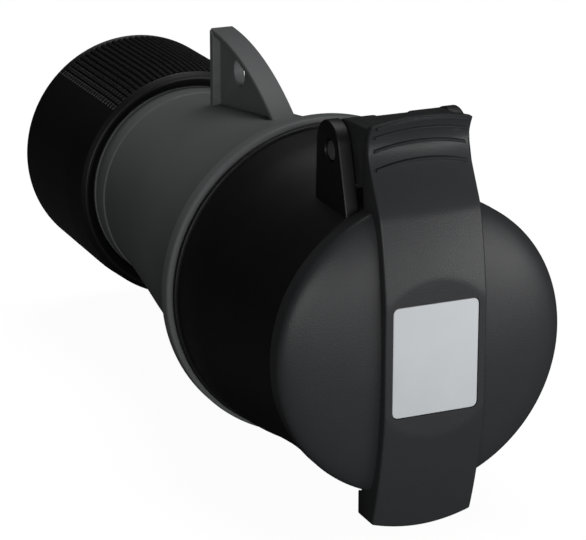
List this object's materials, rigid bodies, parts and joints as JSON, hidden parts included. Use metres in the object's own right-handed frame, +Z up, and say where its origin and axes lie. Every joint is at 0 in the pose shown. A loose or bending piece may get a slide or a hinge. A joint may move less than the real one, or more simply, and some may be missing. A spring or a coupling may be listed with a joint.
{
  "type": "industrial cable coupler",
  "caption": "Cable-mounted connector body that a pin plug enters, with a sprung round lid, flared housing, hanging eye and a knurled gland nut for the cable.",
  "frame": {"origin": "centre of the contact carrier's front face, which the plug's pin plate meets", "axes": "+X along the coupler's axis out towards the lid, +Z up through the lid's hinge and the hanging eye"},
  "size_m": [0.1954, 0.081, 0.0979],
  "materials": {
    "grey_housing": "satin grey",
    "black_housing": "fine-grained black",
    "lid_plastic": "satin dark grey",
    "label": "satin light grey",
    "carrier_plastic": "matte black",
    "seal_rubber": "matte black",
    "brass": "turned",
    "steel": "plain"
  },
  "bodies": {
    "housing": {"rear_housing": "grey_housing", "eye_fin": "grey_housing", "front_housing": "black_housing", "housing_seal": "seal_rubber", "carrier_face": "carrier_plastic", "contact_carrier": "carrier_plastic", "carrier_back": "carrier_plastic", "carrier_ring": "carrier_plastic", "carrier_screws": "steel", "terminal_screws": "steel", "cable_clamp": "carrier_plastic", "cable_seal": "seal_rubber", "hinge_pin": "steel", "pin_clip": "steel", "lid_spring": "steel", "phase_contact_1": "brass", "phase_contact_2": "brass", "phase_contact_3": "brass", "earth_contact": "brass", "contact_spring_1": "steel", "contact_spring_2": "steel", "contact_spring_3": "steel", "contact_spring_4": "steel"},
    "lid": {"lid": "lid_plastic", "lid_gasket": "seal_rubber", "label_plate": "label"},
    "thrust": {"thrust_ring": "carrier_plastic"},
    "nut": {"gland_nut": "black_housing"}
  },
  "joints": [
    {"name": "lid_hinge", "type": "hinge", "parent": "housing", "child": "lid", "pos_m": [-0.0038, 0, 0.0445], "axis": [0, -1, 0], "range_deg": [0, 110], "stiffness_Nm_per_rad": 0.03, "springref_deg": -68.75},
    {"name": "nut_travel", "type": "slide", "parent": "housing", "child": "thrust", "axis": [-1, 0, 0], "range_m": [0, 0.009]},
    {"name": "nut_turn", "type": "hinge", "parent": "thrust", "child": "nut", "pos_m": [-0.154, 0, 0], "axis": [-1, 0, 0], "range_deg": [0, 1080]}
  ],
  "couplings": [
    {"joint": "nut_travel", "follows": "nut_turn", "m_per_rad": 0.000477}
  ]
}
